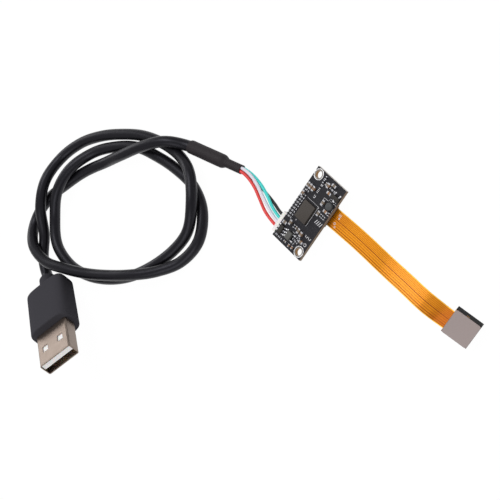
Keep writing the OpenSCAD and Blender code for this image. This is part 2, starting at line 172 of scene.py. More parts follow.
def smoothPath(points, step, perGap=40):
    # centripetal Catmull-Rom curve through the points, read off again every step
    p = np.asarray(points, float)
    p = np.vstack([2 * p[0] - p[1], p, 2 * p[-1] - p[-2]])
    gap = np.linalg.norm(np.diff(p, axis=0), axis=1) ** 0.5
    t = np.concatenate([[0], np.cumsum(gap)])
    s = np.linspace(0, 1, perGap, endpoint=False)[None, :, None]
    t0, t1, t2, t3 = (t[k:len(t) - 3 + k][:, None, None] for k in range(4))
    p0, p1, p2, p3 = (p[k:len(p) - 3 + k][:, None, :] for k in range(4))
    x = t1 + (t2 - t1) * s
    a1 = (t1 - x) / (t1 - t0) * p0 + (x - t0) / (t1 - t0) * p1
    a2 = (t2 - x) / (t2 - t1) * p1 + (x - t1) / (t2 - t1) * p2
    a3 = (t3 - x) / (t3 - t2) * p2 + (x - t2) / (t3 - t2) * p3
    b1 = (t2 - x) / (t2 - t0) * a1 + (x - t0) / (t2 - t0) * a2
    b2 = (t3 - x) / (t3 - t1) * a2 + (x - t1) / (t3 - t1) * a3
    c = ((t2 - x) / (t2 - t1) * b1 + (x - t1) / (t2 - t1) * b2).reshape(-1, 3)
    c = np.vstack([c, p[-2]])
    run = runOf(c)
    even = np.linspace(0, run[-1], max(int(run[-1] / step), 8) + 1)
    return np.stack([np.interp(even, run, c[:, k]) for k in range(3)], 1)


def pathFrames(path, firstWay=None, lastWay=None):
    # unit vectors at each point: t along, s level and to the left, u = t x s
    t = np.gradient(path, axis=0)
    if firstWay is not None:
        t[0] = firstWay
    if lastWay is not None:
        t[-1] = lastWay
    t /= np.linalg.norm(t, axis=1)[:, None]
    s = np.cross([0, 0, 1.0], t)
    s /= np.linalg.norm(s, axis=1)[:, None]
    return t, s, np.cross(t, s)


def gridMesh(name, grid, closeRows=False, closeCols=True, uv=None, keep=None):
    # quads between neighbours of grid[row, place], anticlockwise from outside; an open tube gets end caps
    rows, cols = grid.shape[:2]
    i, j = np.meshgrid(np.arange(rows if closeRows else rows - 1), np.arange(cols if closeCols else cols - 1),
                       indexing="ij")
    if keep is not None:
        i, j = i[keep], j[keep]
    i, j = i.reshape(-1), j.reshape(-1)
    i2, j2 = (i + 1) % rows, (j + 1) % cols
    polygons = np.stack([i * cols + j, i * cols + j2, i2 * cols + j2, i2 * cols + j], -1).tolist()
    quads = len(polygons)
    if closeCols and not closeRows:
        polygons += [list(range(cols - 1, -1, -1)), [(rows - 1) * cols + n for n in range(cols)]]
    mesh = bpy.data.meshes.new(name)
    mesh.from_pydata(grid.reshape(-1, 3).tolist(), [], polygons)
    if uv is not None:
        # uv[row, place] holds metres along and across, one more column where the grid closes
        wide = uv.shape[1]
        corner = np.stack([i * wide + j, i * wide + j + 1, (i + 1) * wide + j + 1, (i + 1) * wide + j], -1)
        addMap(mesh, "along", uv.reshape(-1, 2)[corner.reshape(-1)], quads)
    return mesh


def addMap(mesh, name, corners, quads):
    # a UV map on the first quads of a mesh, four corners each; the end caps stay at zero
    flat = np.zeros((len(mesh.loops), 2))
    flat[:quads * 4] = corners
    mesh.uv_layers.new(name=name).data.foreach_set("uv", flat.astype(np.float32).reshape(-1))


def shadeSoft(mesh, degrees=40):
    # smooth shading, broken at edges sharper than this
    mesh.polygons.foreach_set("use_smooth", np.ones(len(mesh.polygons), bool))
    mesh.set_sharp_from_angle(angle=math.radians(degrees))
    mesh.update()
    return mesh


def addPiece(name, mesh, material, slotName, *stands):
    # a new piece on the root body, in place of the CAD nodes that it stands for
    piece = bpy.data.objects.new(name, mesh)
    bpy.context.scene.collection.objects.link(piece)
    mesh.materials.append(material)
    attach(piece, "root")
    if stands:
        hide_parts(*stands)
    return piece


def carriedGrid(path, section, firstWay=None, lastWay=None, twist=None):
    # c(i) + a s(i) + b u(i) for each (a, b) of the section, turned by twist(i) about the path
    _, s, u = pathFrames(path, firstWay, lastWay)
    turn = np.zeros(len(path)) if twist is None else twist
    c, d = np.cos(turn)[:, None], np.sin(turn)[:, None]
    s, u = c * s + d * u, c * u - d * s
    a, b = section[:, 0][None, :, None], section[:, 1][None, :, None]
    grid = path[:, None, :] + a * s[:, None, :] + b * u[:, None, :]
    across = runOf(np.vstack([section, section[:1]]))
    uv = np.stack(np.broadcast_arrays(runOf(path)[:, None], across[None, :]), -1)
    return grid, uv


def tubeMesh(name, path, diameterMm, sides, firstWay, lastWay):
    # a round section carried along the path
    a = np.linspace(0, 2 * math.pi, sides, endpoint=False)
    section = diameterMm / 2 * mm * np.stack([np.cos(a), np.sin(a)], 1)
    grid, uv = carriedGrid(path, section, firstWay, lastWay)
    return shadeSoft(gridMesh(name, grid, uv=uv))


def roundRect(halfX, halfY, corner, inset=0.0, steps=5):
    # a rectangle with round corners, anticlockwise, drawn in by inset
    hx, hy, r = halfX - inset, halfY - inset, max(corner - inset, 0.01)
    a = np.concatenate([np.linspace(k, k + 90, steps) for k in (0, 90, 180, 270)]) * math.pi / 180
    cx = np.repeat([hx - r, r - hx, r - hx, hx - r], steps)
    cy = np.repeat([hy - r, hy - r, r - hy, r - hy], steps)
    return np.stack([cx + r * np.cos(a), cy + r * np.sin(a)], 1)


def slabMesh(name, rings, place):
    # closed body through stacked level outlines; rings is a list of (outline, height)
    grid = np.stack([np.column_stack([ring, np.full(len(ring), z)]) for ring, z in rings])
    return shadeSoft(gridMesh(name, place(grid)), 30)


def turnedMesh(name, profile, place, sides=48):
    # a closed (radius, height) outline turned about its own upright axis
    p = np.asarray(profile, float)
    a = np.linspace(0, 2 * math.pi, sides, endpoint=False)
    grid = np.stack([p[:, :1] * np.cos(a), p[:, :1] * np.sin(a), np.repeat(p[:, 1:], sides, 1)], -1)
    return shadeSoft(gridMesh(name, place(grid), closeRows=True), 30)


def strokeMesh(name, strokes, thick, place):
    # each stroke (x0, y0, x1, y1, width) becomes a flat bar of eight corners
    k = np.asarray(strokes, float)
    way = k[:, 2:4] - k[:, 0:2]
    way /= np.linalg.norm(way, axis=1)[:, None]
    side = np.stack([-way[:, 1], way[:, 0]], 1) * k[:, 4:5] / 2
    corners = np.stack([k[:, 0:2] - side, k[:, 2:4] - side, k[:, 2:4] + side, k[:, 0:2] + side], 1)
    low = np.concatenate([corners, np.zeros(corners.shape[:2] + (1,))], 2)
    high = low + [0, 0, thick]
    points = place(np.concatenate([low, high], 1).reshape(-1, 3))
    box = np.array([[3, 2, 1, 0], [4, 5, 6, 7], [0, 1, 5, 4], [1, 2, 6, 5], [2, 3, 7, 6], [3, 0, 4, 7]])
    faces = (np.arange(len(k))[:, None, None] * 8 + box[None]).reshape(-1, 4)
    mesh = bpy.data.meshes.new(name)
    mesh.from_pydata(points.tolist(), [], faces.tolist())
    return mesh


def ringStrokes(x, y, radius, width, count):
    # short bars round a circle
    a = np.linspace(0, 2 * math.pi, count + 1)
    px, py = x + radius * np.cos(a), y + radius * np.sin(a)
    return np.stack([px[:-1], py[:-1], px[1:], py[1:], np.full(count, width)], 1).tolist()


def boxMm(node):
    # a node's lowest and highest corner in millimetres
    low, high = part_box(node)
    return np.array(low) / mm, np.array(high) / mm


def seatPlace(seat):
    # millimetres in a turned seat (X, then Y, then Z) to metres in the part
    x, y, z = (math.radians(v) for v in seat["turn"])
    m = Matrix.Rotation(z, 3, "Z") @ Matrix.Rotation(y, 3, "Y") @ Matrix.Rotation(x, 3, "X")
    m, origin = np.array(m), np.array(seat["place"], float)
    return lambda p: (np.asarray(p, float) @ m.T + origin) * mm


def besidePlace(spot):
    # millimetres from a spot to metres in the part
    return lambda p: (np.asarray(p, float) + spot) * mm


viewAim = dict(elevation=51.974, turn=27.889, roll=78.654, lens=110.64, place=(202.7, 106.84, 351.22))


def makeCamera():
    # looks back along (cos e cos a, cos e sin a, sin e), rolled about it
    e, a, r = (math.radians(viewAim[k]) for k in ("elevation", "turn", "roll"))
    back = np.array([math.cos(e) * math.cos(a), math.cos(e) * math.sin(a), math.sin(e)])
    right = np.array([-math.sin(a), math.cos(a), 0.0])
    up = np.cross(back, right)
    right, up = math.cos(r) * right - math.sin(r) * up, math.sin(r) * right + math.cos(r) * up
    camera = bpy.data.cameras.new("viewCamera")
    camera.lens = viewAim["lens"]
    camera.sensor_width = 36
    camera.clip_start = 0.01
    holder = bpy.data.objects.new("viewCamera", camera)
    bpy.context.scene.collection.objects.link(holder)
    turn = Matrix([[right[k], up[k], back[k]] for k in range(3)]).to_4x4()
    holder.matrix_world = Matrix.Translation(Vector(viewAim["place"]) * mm) @ turn
    bpy.context.scene.camera = holder


makeCamera()
print("camera set")

# seats of the two turned ends, in millimetres and degrees
plugSeat = dict(place=(-74.15, -80.5, 13.2), turn=(-11, -24.5, -10.6))
headSeat = dict(place=(32.2, 6.1, 5.65), turn=(9, 26, 0))
onPlug, onHead = seatPlace(plugSeat), seatPlace(headSeat)
boardLow, boardHigh = boxMm("pcb")
boardMid = (boardLow + boardHigh) / 2
onBoard = besidePlace([boardMid[0], boardMid[1], boardHigh[2]])  # from the middle of the board's top face

cable = dict(diameter=3.5, sides=20, step=1.0, lift=0.05)
sleeve = dict(start=(-77.5, -11, 2.1), turn=16, thick=13.5, taper=2.0, neck=6.0, radius=2.1, neckRadius=1.45,
              wall=0.3, ribs=0.07, waver=0.02, sides=40)
grip = dict(length=20.0, width=15.0, front=9.8, back=8.2, collar=5.0, collarRadius=2.9, sides=120)
lead = np.array([math.cos(math.radians(sleeve["turn"])), math.sin(math.radians(sleeve["turn"])), 0])
sleeveStart = np.array(sleeve["start"], float)
mouth = sleeveStart + (sleeve["thick"] + sleeve["taper"] + sleeve["neck"]) * lead
nose = (onPlug([1, 0, 0]) - onPlug([0, 0, 0])) / mm
collarEnd = onPlug([-grip["length"] - grip["collar"], 0, 0]) / mm
cableRoute = np.vstack([sleeveStart + (sleeve["thick"] - 0.5) * lead, sleeveStart, [
    (-84.5, -14.5, 5.2), (-91, -21, 5.7), (-97, -28, 4.4), (-103, -34.5, 2),
    (-108.5, -42, 1.8), (-112.5, -50, 1.8), (-115.5, -58, 1.8), (-115, -66.5, 2),
    (-108, -71, 5), (-99, -71.2, 6), (-90.5, -67.7, 6.3), (-82.5, -63.5, 5.5),
    (-75, -58.5, 5.5), (-68, -53, 5.5), (-61.5, -46.5, 4), (-57, -39, 2),
    (-56, -30.5, 1.8), (-61, -23, 1.8), (-69, -19.5, 1.8), (-78, -19.5, 1.8),
    (-87, -21, 1.8), (-95.5, -23.5, 1.8), (-103, -28.5, 1.8), (-109, -35, 2.5),
    (-111.5, -43.5, 5), (-111, -52, 5.2), (-108.5, -60, 2.5), (-102.5, -66, 1.8),
    (-93.5, -67.5, 1.8), (-85, -65.5, 1.8), (-77, -61, 1.8), (-70.5, -55, 1.8),
    (-65.5, -47.5, 1.8), (-62, -39, 1.8), (-60.5, -30.5, 3), (-63, -22.5, 5.5),
    (-70, -16.5, 5), (-78.5, -15.5, 2.5), (-87, -16.5, 1.8), (-96, -19.5, 1.8),
    (-103.5, -24, 1.8), (-110.5, -29.5, 1.8), (-116.5, -36.5, 1.8), (-119.5, -44.5, 2.5),
    (-117.5, -52.5, 5.5), (-113.5, -60, 5.4), (-108.5, -67.5, 2), (-104.1, -73, 1.8),
    (-100.9, -75.1, 1.85)], collarEnd - 2.2 * nose + [0, 0, 0.2], collarEnd])

# extruded flexible PVC: soft black with a broad satin highlight
cablePvc = speckled("cableBlackPvc", "#131216", "#0e0d11", 0.9, 0.36, 0.05, 0.1, Specular_IOR_Level=0.29,
                    Specular_Tint=linearColour("#f1f0ff"))
cablePath = smoothPath(cableRoute, cable["step"])
cablePath[:, 2] = np.maximum(cablePath[:, 2], cable["diameter"] / 2 + cable["lift"])
cablePath *= mm
cableMesh = tubeMesh("cableSkin", cablePath, cable["diameter"], cable["sides"], -lead, nose)
cableSkin = addPiece("cableSkin", cableMesh, cablePvc, "cable_skin", "usb_cable")

# shrunk polyolefin: dull brown-black that clings to what it holds
shrinkTube = speckled("shrunkPolyolefin", "#282226", "#1e191c", 0.5, 0.65, 0.08, 0.5, Specular_IOR_Level=0.35)


def sleeveMesh():
    # radius by distance along, once over the outside and back along the inside, turned about the lead
    a = np.linspace(0, 2 * math.pi, sleeve["sides"], endpoint=False)[None, :]
    thick, end = sleeve["thick"], sleeve["thick"] + sleeve["taper"] + sleeve["neck"]
    s = np.concatenate([[0, 0.1, 0.3], np.linspace(0.6, end - 0.3, 60), [end - 0.12, end - 0.03, end]])
    ease = np.clip((s - thick) / sleeve["taper"], 0, 1)
    r = sleeve["radius"] + (sleeve["neckRadius"] - sleeve["radius"]) * ease * ease * (3 - 2 * ease)
    # both rims draw in a little: 0.05 over 0.3 mm at the start, 0.08 over 0.12 mm at the end
    r = r - 0.05 * np.clip(1 - s / 0.3, 0, 1) - 0.08 * np.clip(1 - (end - s) / 0.12, 0, 1)
    hug = np.clip((s - thick - 1) / 2, 0, 1)[:, None]  # over the wires the tube shows their four ribs
    outer = r[:, None] - sleeve["ribs"] * hug * (1 - np.cos(4 * a + math.pi)) / 2
    outer = outer - sleeve["waver"] * (1 - hug) * (1 + np.sin(2 * a + s[:, None] * 0.5)) / 2
    inner = np.minimum(outer[::-1], r[::-1, None]) - sleeve["wall"]
    radii = np.vstack([outer, inner])[..., None]
    along = np.concatenate([s, s[::-1]])[:, None, None]
    side, up = np.array([-lead[1], lead[0], 0]), np.array([0, 0, 1.0])
    grid = sleeveStart + along * lead + radii * (np.cos(a)[..., None] * side + np.sin(a)[..., None] * up)
    return shadeSoft(gridMesh("shrinkSleeve", grid * mm, closeRows=True), 50)


shrinkSleeve = addPiece("shrinkSleeve", sleeveMesh(), shrinkTube, "shrink", "heat_shrink")

# PVC hook-up wire, smooth, bright and a little waxy; bunch is left and up from the sleeve's axis
wire = dict(diameter=0.95, sides=14, step=0.35, pitch=1.25, lift=0.02, hidden=2.5, approach=1.5, reach=2.4)
wires = dict(
    wire_red=dict(material="redWirePvc", pale="#f04644", dark="#e03836", slot="red_skin",
                  bunch=(-0.5, 0.5),
                  points=[(-53.5, -5.4, 2.5), (-49.5, -6.2, 2.3), (-46, -7.7, 2), (-42, -9.4, 1.7)]),
    wire_white=dict(material="whiteWirePvc", pale="#eeeaf4", dark="#e0dcea", slot="white_skin",
                    bunch=(0.5, 0.5),
                    points=[(-53, -4.3, 2.6), (-49, -5.1, 2.4), (-45, -6.65, 2.1), (-41, -8.15, 1.7)]),
    wire_green=dict(material="greenWirePvc", pale="#48e4dd", dark="#39d5ce", slot="green_skin",
                    bunch=(0.5, -0.5),
                    points=[(-53, -4.1, 1.6), (-48.5, -4.5, 1.6), (-44.5, -5.6, 1.6), (-41, -6.9, 1.6)]),
    wire_black=dict(material="blackWirePvc", pale="#1a191b", dark="#121113", slot="black_skin",
                    bunch=(-0.5, -0.5),
                    points=[(-53, -5.2, 1.2), (-48.5, -5.4, 0.5), (-44.5, -5.75, 0.5), (-41, -6.1, 0.8)]))


def layWires():
    # each runs from inside the sleeve's neck through its own points to its place in the housing
    low, high = boxMm("wire_housing")
    _, middle, level = (low + high) / 2
    for place, (node, one) in enumerate(wires.items()):
        left, up = one["bunch"]
        y = middle + (place - 1.5) * wire["pitch"]
        beside = [-lead[1] * left, lead[0] * left, up]
        route = [mouth + d * lead + beside for d in (-sleeve["neck"] - wire["hidden"], 0)]
        route += one["points"] + [(low[0] - wire["approach"], y, level), (high[0] - wire["reach"], y, level)]
        path = smoothPath(route, wire["step"]) * mm
        path[:, 2] = np.maximum(path[:, 2], (wire["diameter"] / 2 + wire["lift"]) * mm)
        skin = speckled(one["material"], one["pale"], one["dark"], 0.6, 0.36, 0.05, 0.08)
        name = one["material"].replace("Pvc", "Skin")
        mesh = tubeMesh(name, path, wire["diameter"], wire["sides"], lead, (1, 0, 0))
        addPiece(name, mesh, skin, one["slot"], node)


layWires()
print("cable, sleeve and wires laid")

# flat strip: side and drop place it under the board, and start and inset are its reach past the board's
# middle and edge
strip = dict(width=5.8, thick=0.15, run=50.1, step=0.5, pitch=(0.66, 0.46), side=8.65, drop=1.05, start=3.6,
             inset=0.3, split=0.12, margin=0.26)
headSize = dict(x=7.9, y=7.6, plate=0.2)
stripSide = boardHigh[1] - strip["side"]
stripLevel = boardLow[2] - strip["drop"] - strip["thick"] / 2
# share of the run, sideways and height of each bend
stripBend = [(0.08, 0.05, 1.5), (0.19, 0.1, 1.0), (0.3, 0.1, 0.85), (0.4, 0.15, 1.15), (0.5, 0.5, 2.3),
             (0.6, 1.05, 3.95), (0.695, 1.6, 5.8), (0.775, 2.05, 7.4), (0.845, 2.45, 8.5), (0.895, 2.7, 8.8),
             (0.94, 2.8, 8.4), (0.974, 2.8, 7.7)]
stripEnd = onHead([-headSize["x"] / 2, 0, -headSize["plate"] - strip["thick"] / 2]) / mm
headWay = onHead([1, 0, 0]) - onHead([0, 0, 0])
stripExit = (boardHigh[0] - strip["inset"], stripSide, stripLevel)
stripRoute = ([(boardMid[0] + strip["start"], stripSide, stripLevel), stripExit]
              + [(boardHigh[0] + f * strip["run"], stripSide + y, z) for f, y, z in stripBend]
              + [tuple(stripEnd)])
stripPath = smoothPath(stripRoute, strip["step"]) * mm
stripLength = float(runOf(stripPath)[-1])
# over its last quarter the strip twists into the head's roll
twistShare = np.clip((runOf(stripPath) / stripLength - 0.75) / 0.25, 0, 1) ** 2
stripTwist = np.radians(headSeat["turn"][0]) * twistShare


def stripSection(across=17):
    # a thin bar with softly turned edges; right edge first, then back across the top
    half, t = strip["width"] / 2 * mm, strip["thick"] / 2 * mm
    x = np.linspace(-1, 1, across) * (half - t * 0.6)
    low = np.stack([x, np.full(across, -t)], 1)
    high = np.stack([x[::-1], np.full(across, t)], 1)
    return np.vstack([low, [(half, 0)], high, [(-half, 0)]])


def stripMaterial():
    # polyimide film over rolled copper tracks: amber, half metallic, with fine lines along it
    material, tree, shader = newMaterial("amberPolyimide", Metallic=0.5, Roughness=0.36, IOR=1.5,
                                         Specular_IOR_Level=0.3)
    half, split = strip["width"] / 2 * mm, strip["split"] * mm
    uv = addNode(tree, "ShaderNodeUVMap", {"uv_map": "place"}).outputs[0]
    along, across = addNode(tree, "ShaderNodeSeparateXYZ", {}, {0: uv}).outputs[:2]
    # lines are a sine of the place across, with wider tracks on the -Y side of the split than on the other
    waves = [2 * math.pi / (pitch * mm) for pitch in strip["pitch"]]
    wave = spread(tree, mathOf(tree, "GREATER_THAN", across, split), 0.0, 1.0, *waves)
    fine = spread(tree, mathOf(tree, "SINE", mathOf(tree, "MULTIPLY", across, wave)), 0.1, 0.8)
    # how strongly the gaps between tracks show at each place across, from the -Y edge to the +Y edge
    weight = greyRamp(tree, spread(tree, across, -half, half), [
        (0.0, 0.0), (0.045, 0.0), (0.06, 1.0), (0.26, 1.0), (0.3, 0.6), (0.48, 0.45), (0.56, 0.5), (0.6, 0.6),
        (0.93, 0.65), (0.95, 0.0), (1.0, 0.0)])
    lines = mathOf(tree, "MULTIPLY", fine, weight)
    gap = mathOf(tree, "ABSOLUTE", mathOf(tree, "SUBTRACT", across, split))
    gap = spread(tree, gap, 0.08 * mm, 0.16 * mm, 1.0, 0.0)
    bare = mathOf(tree, "GREATER_THAN", mathOf(tree, "ABSOLUTE", across), half - strip["margin"] * mm)
    drift = noiseOf(tree, objectPlace(tree), 9)
    # painted shade: the film is darker where it comes out from under the board's edge and, from a skewed
    # line, over its last part, which bends away from the lamps
    skewed = mathOf(tree, "MULTIPLY_ADD", across, -0.6, along)
    paintedShade = greyRamp(tree, spread(tree, skewed, 0.0, stripLength), [
        (0.1, 0.3), (0.16, 0.0), (0.84, 0.0), (0.85, 0.2), (0.91, 0.3), (0.955, 0.85), (1.0, 1.0)])
    tone = mixTone(tree, drift, "#f9a31c", "#f09410")
    # first the painted shade in a deeper amber, then the tracks, the gaps and the bare edges
    for share, colour in ((paintedShade, "#bd6409"), (lines, "#9c4c08"), (gap, "#93460c"), (bare, "#ffc13a")):
        tone = mixTone(tree, share, tone, colour)
    height = mathOf(tree, "MAXIMUM", lines, gap)
    joinShader(tree, shader, tone, relief=reliefOf(tree, height, 0.2, 0.03, True))
    return material


def makeStrip():
    section = stripSection()
    grid, uv = carriedGrid(stripPath, section, (1, 0, 0), headWay, stripTwist)
    mesh = gridMesh("stripFilm", grid, uv=uv)
    # a second map whose second value is the place across the strip, on both faces
    i, j = np.meshgrid(np.arange(len(stripPath) - 1), np.arange(len(section)), indexing="ij")
    i, j = i.reshape(-1), j.reshape(-1)
    j2 = (j + 1) % len(section)
    run = runOf(stripPath)
    ring = ((i, j), (i, j2), (i + 1, j2), (i + 1, j))
    corners = np.stack([np.stack([run[a], section[b, 0]], -1) for a, b in ring], 1)
    addMap(mesh, "place", corners.reshape(-1, 2), len(corners))
    return addPiece("stripFilm", shadeSoft(mesh, 50), stripMaterial(), "strip", "flat_strip")


stripFilm = makeStrip()


def onStrip(p):
    # (along from the board's edge, across, up) in millimetres to metres on the strip's upper face
    p = np.asarray(p, float) * mm
    _, s, u = pathFrames(stripPath, (1, 0, 0), headWay)
    at = p[:, 0] + (boardHigh[0] - (boardMid[0] + strip["start"])) * mm
    middle, side, up = (np.stack([np.interp(at, runOf(stripPath), values[:, k]) for k in range(3)], 1)
                        for values in (stripPath, s, u))
    return middle + p[:, 1:2] * side + (p[:, 2:3] + strip["thick"] / 2 * mm) * up


# screen-printed epoxy ink, slightly raised and chalky
ink = speckled("whiteInk", "#e9e8ea", "#c9c8cc", 0.12, 0.7, 0.1, 0.3)
# plain bars, a plus and a diamond
stripMarks = [(x, 1.3, x, 2.0, 0.16) for x in (1.1, 1.45, 1.8)]
stripMarks += [(x, -2.1, x, -1.6, 0.18) for x in (1.75, 2.1)]
stripMarks += [(1.7, 0.5, 1.7, 1.1, 0.26), (1.4, 0.8, 2.0, 0.8, 0.16)]
stripMarks += ringStrokes(1.35, -1.1, 0.35, 0.14, 4)
addPiece("stripPrint", strokeMesh("stripPrint", stripMarks, 0.012, onStrip), ink, "white_plastic")
print("strip laid", round(stripLength, 4))

# injection-moulded soft PVC over the plug: dark grey with a fine spark-eroded grain
gripPvc = speckled("mouldedGripPvc", "#444348", "#3c3b40", 0.35, 0.8, 0.06, 0.35, Specular_IOR_Level=0.02)


def gripMesh():
    # soft ovals |y/a|^n + |z/b|^n = 1 along the plug's axis, each row (x, a, b, n), round for the collar
    back, end = -grip["length"], -grip["length"] - grip["collar"]
    r, wide, tall, front = grip["collarRadius"], grip["width"] / 2, grip["back"] / 2, grip["front"] / 2
    ease = np.linspace(0, math.pi / 2, 9)
    rows = [(end, r - 0.5, r - 0.5, 2), (end + 0.12, r - 0.2, r - 0.2, 2), (end + 0.45, r, r, 2),
            (back - 0.3, r, r, 2), (back, r + 0.3, r + 0.3, 2)]
    # the shoulder behind, 1.1 mm long
    rows += [(back + 1.1 * (1 - math.cos(e)) + 0.01, wide - 1.0 * (1 - math.sin(e)) - 0.03,
              tall - 0.5 * (1 - math.sin(e)), 4.4) for e in ease]
    # the body, which grows from its back to its front
    rows += [(back * (1 - f), wide - 0.12 * f, tall + (front - tall) * f, 4.4 - 0.4 * f)
             for f in np.linspace(0.08, 0.97, 14)]
    # the front edge, rounded by 0.42 mm, and the face round the shell
    rows += [(-0.42 * (1 - math.sin(e)), wide - 0.15 - 0.42 * (1 - math.cos(e)),
              front - 0.02 - 0.42 * (1 - math.cos(e)), 4.0) for e in ease]
    rows += [(0, 6.0, 2.5, 8)]
    x, a, b, n = (column[:, None] for column in np.array(rows, float).T)
    t = np.linspace(0, 2 * math.pi, grip["sides"], endpoint=False)[None, :]
    c, s = np.cos(t), np.sin(t)
    grid = np.stack([x + 0 * t, a * np.sign(c) * np.abs(c) ** (2 / n),
                     b * np.sign(s) * np.abs(s) ** (2 / n)], -1)
    return shadeSoft(gridMesh("gripBody", onPlug(grid)), 35)


gripBody = addPiece("gripBody", gripMesh(), gripPvc, "grip", "plug_grip")

shell = dict(width=12.0, height=4.5, wall=0.3, length=13.2, root=4.0, corner=0.55, seam=0.04, windowWide=2.0,
             windowLong=2.4, windowBack=7.4, windowSide=3.0, edge=0.06)


def shellMaterial():
    # drawn and folded nickel-plated steel: warm grey, drawn lengthwise
    material, tree, shader = newMaterial("nickelPlatedSteel", Metallic=1.0, Roughness=0.38)
    place = objectPlace(tree)
    _, tilt, turn = (math.radians(v) for v in plugSeat["turn"])
    drawn = addNode(tree, "ShaderNodeMapping", {"Rotation": (0, tilt, -turn), "Scale": (0.06, 1, 1)},
                    {"Vector": place}).outputs[0]
    streak = noiseOf(tree, drawn, 0.25)
    tone = mixTone(tree, noiseOf(tree, place, 3), mixTone(tree, streak, "#8d7f76", "#a2948a"), "#887a70")
    joinShader(tree, shader, tone, spread(tree, streak, 0.0, 1.0, 0.32, 0.48),
               reliefOf(tree, streak, 0.08, 0.02))
    return material


def shellMesh():
    # the rounded section carried along the plug's axis, with the windows' cells left out
    halfY, halfZ, r, seam = shell["width"] / 2, shell["height"] / 2, shell["corner"], shell["seam"]
    x0 = shell["length"] - shell["windowBack"]
    x1 = x0 + shell["windowLong"]
    x = np.unique(np.concatenate([np.linspace(-shell["root"], shell["length"], 20), [x0, x1]]))
    edges = [k * shell["windowSide"] + m * shell["windowWide"] / 2 for k in (-1, 1) for m in (-1, 1)]
    flat = np.unique(np.concatenate([np.linspace(r - halfY, halfY - r, 9), edges]))
    bend = np.radians(np.linspace(0, 90, 7))[1:-1]
    low = np.concatenate([[seam], flat[flat > seam]])
    base = np.stack([low, np.full(len(low), -halfZ)], 1)
    right = np.stack([halfY - r + r * np.sin(bend), -halfZ + r - r * np.cos(bend)], 1)
    side = np.stack([np.full(5, halfY), np.linspace(r - halfZ, halfZ - r, 5)], 1)
    upRight = np.stack([halfY - r + r * np.cos(bend), halfZ - r + r * np.sin(bend)], 1)
    top = np.stack([flat[::-1], np.full(len(flat), halfZ)], 1)
    half = np.vstack([base, right, side, upRight])
    section = np.vstack([half, top, half[::-1] * [-1, 1]])
    grid = np.concatenate([np.repeat(x[:, None, None], len(section), 1),
                           np.repeat(section[None], len(x), 0)], 2)
    cellX = (x[:-1] + x[1:])[:, None] / 2
    cell = (section[:-1] + section[1:]) / 2
    inX = (cellX > x0) & (cellX < x1)
    inY = np.abs(np.abs(cell[:, 0]) - shell["windowSide"]) < shell["windowWide"] / 2
    onFlat = np.abs(cell[:, 1]) > halfZ - 0.01
    mesh = gridMesh("shellSheet", onPlug(grid), closeCols=False, keep=~(inX & (inY & onFlat)[None, :]))
    return shadeSoft(mesh, 35)


shellSheet = addPiece("shellSheet", shellMesh(), shellMaterial(), "shell", "plug_shell")
wall = shellSheet.modifiers.new("wall", "SOLIDIFY")
wall.thickness = shell["wall"] * mm
wall.offset = -1
soft = shellSheet.modifiers.new("edge", "BEVEL")
soft.width = shell["edge"] * mm
soft.segments = 2
soft.limit_method = "ANGLE"
soft.angle_limit = math.radians(50)
print("plug made")


def boardMaterial():
    # glossy black solder mask over laminate: near black on the faces, bare glass fibre at the cut edges
    material, tree, shader = newMaterial("blackSolderMask", Roughness=0.45, IOR=1.5, Specular_IOR_Level=0.3)
    place = objectPlace(tree)
    face, end = uprightShare(tree)
    tracks = addNode(tree, "ShaderNodeTexVoronoi", {"feature": "DISTANCE_TO_EDGE", "Scale": 1 / (1.1 * mm),
                                                    "Randomness": 0.9}, {"Vector": place})
    tracks = spread(tree, tracks.outputs["Distance"], 0.04, 0.09)
    mask = mixTone(tree, tracks, "#1f1e26", "#15141a")
    mask = mixTone(tree, noiseOf(tree, place, 2.5, 4.0), mask, "#1b1a21")
    fibre = mixTone(tree, noiseOf(tree, place, 0.2), "#685a4c", "#9c8b79")
    # the short ends are sawn through and paler than the routed long edges
    fibre = mixTone(tree, mathOf(tree, "GREATER_THAN", end, 0.5), fibre, "#d8d2cc")
    joinShader(tree, shader, mixTone(tree, face, fibre, mask), spread(tree, face, 0.0, 1.0, 0.8, 0.45),
               reliefOf(tree, tracks, 0.3, 0.035, True))
    return material


dress(boardMaterial(), "pcb")

# reflowed tin: pale and bright, a little uneven
tin = speckled("reflowedTin", "#dcdce0", "#a2a2a8", 0.25, 0.36, 0.08, 0.4, Metallic=1.0)
dress(tin, "capacitor_ends", "resistor_ends", "regulator_leads", "line_guard_leads", "transistor_leads")


def platingMaterial():
    # tinned ring on the faces, and browner bare copper down the drilled wall
    material, tree, shader = newMaterial("platedHole", Metallic=1.0)
    face, _ = uprightShare(tree)
    grain = noiseOf(tree, objectPlace(tree), 0.3)
    brown = mixTone(tree, grain, "#755334", "#9a784c")
    pale = mixTone(tree, grain, "#77706a", "#a09a94")
    joinShader(tree, shader, mixTone(tree, face, brown, pale), spread(tree, grain, 0.0, 1.0, 0.25, 0.42))
    return material


dress(platingMaterial(), "hole_plating")


def ceramicMaterial():
    # barium titanate ceramic: matt tan, and greyer from batch to batch
    material = speckled("tanCeramic", "#ad8158", "#8c6243", 0.3, 0.55)
    tree = material.node_tree
    base = tree.nodes["Principled BSDF"].inputs["Base Color"]
    batch = spread(tree, noiseOf(tree, objectPlace(tree), 3.2, 0.0), 0.42, 0.52)
    tree.links.new(mixTone(tree, batch, base.links[0].from_socket, "#7a6d5f"), base)
    return material


dress(ceramicMaterial(), "capacitor_bodies")
# thick-film resistor: glazed black
dress(speckled("glazedResistor", "#2e2f33", "#1c1c1f", 0.2, 0.4), "resistor_bodies")


